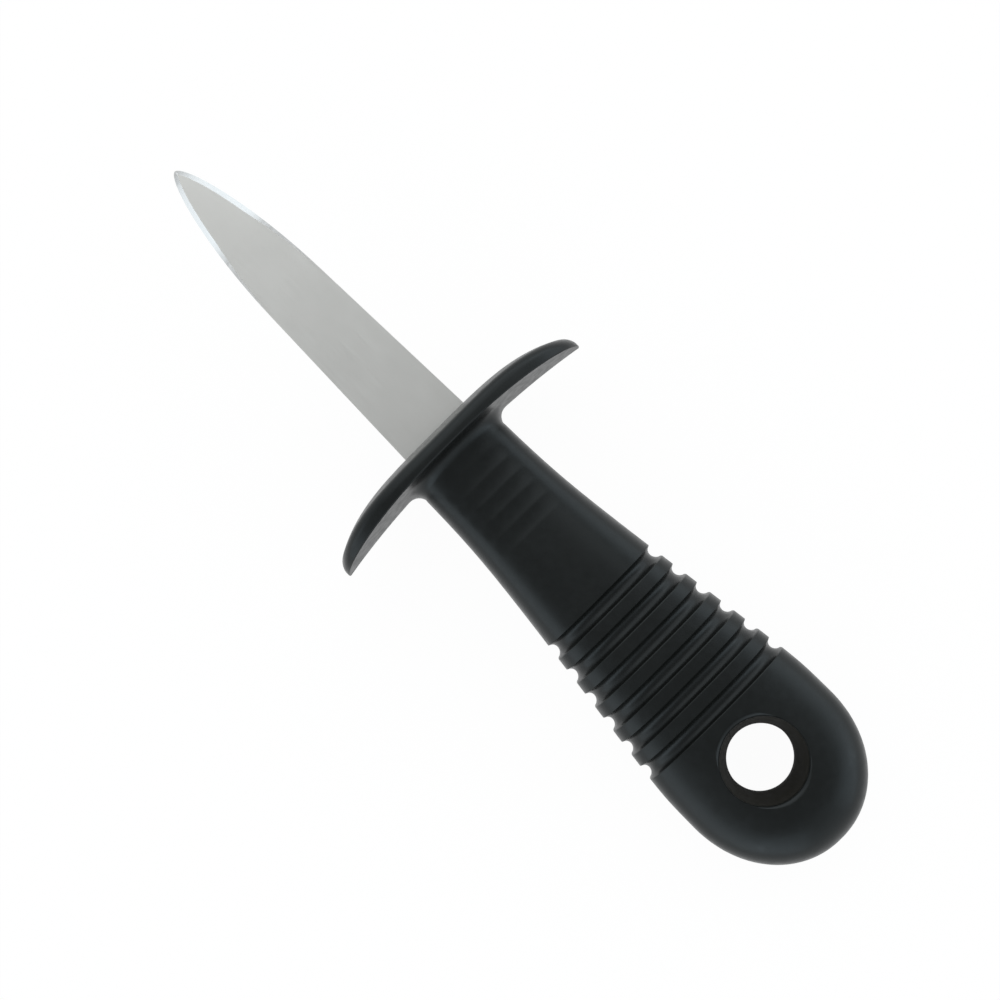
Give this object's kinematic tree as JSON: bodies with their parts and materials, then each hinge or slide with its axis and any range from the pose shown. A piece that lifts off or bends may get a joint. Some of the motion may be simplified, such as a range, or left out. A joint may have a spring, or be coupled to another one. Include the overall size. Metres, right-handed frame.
{
  "type": "oyster knife",
  "caption": "Short pointed steel blade fixed in a one-piece black plastic handle with an oval guard, ring-grooved grip and hanging hole.",
  "frame": {"origin": "middle of the hanging hole, on the knife's middle plane", "axes": "+X along the knife from the hanging hole to the blade's tip, +Y across the blade, +Z along the hanging hole and square to the blade's flat"},
  "size_m": [0.17, 0.0584, 0.027],
  "materials": {
    "blade": "satin ground stainless steel with bright bevels",
    "handle": "semi-matte black polypropylene with a fine grain"
  },
  "bodies": {
    "root": {"blade": "blade", "handle": "handle"}
  },
  "joints": []
}
